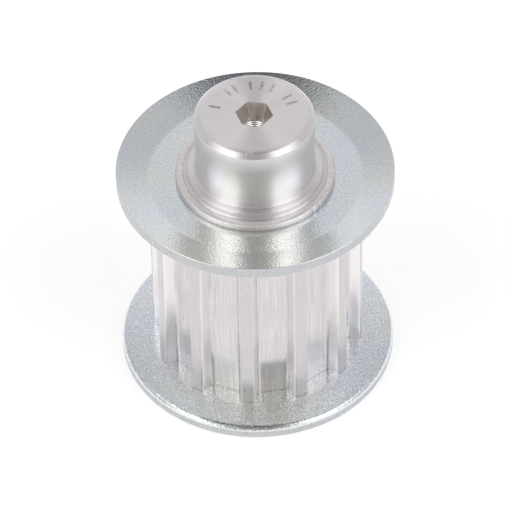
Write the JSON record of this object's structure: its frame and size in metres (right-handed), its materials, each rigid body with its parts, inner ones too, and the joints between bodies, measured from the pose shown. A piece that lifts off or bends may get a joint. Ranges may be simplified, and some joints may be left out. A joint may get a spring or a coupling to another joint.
{
  "type": "timing belt pulley",
  "caption": "Flanged timing belt pulley: a toothed aluminium body, dished steel flanges swaged on at both ends, and a round hub with a small hexagonal recess.",
  "frame": {"origin": "centre of the plain end face, which the pulley stands on", "axes": "+Z along the pulley's axis of rotation, from the plain end to the hub; +X through the middle of one tooth"},
  "size_m": [0.0232, 0.0232, 0.027],
  "materials": {
    "body": "turned and milled, satin",
    "flanges": "pressed sheet steel, bright zinc plated, fine grain"
  },
  "bodies": {
    "root": {"pulley_body": "body", "hub_side_flange": "flanges", "plain_side_flange": "flanges"}
  },
  "joints": []
}
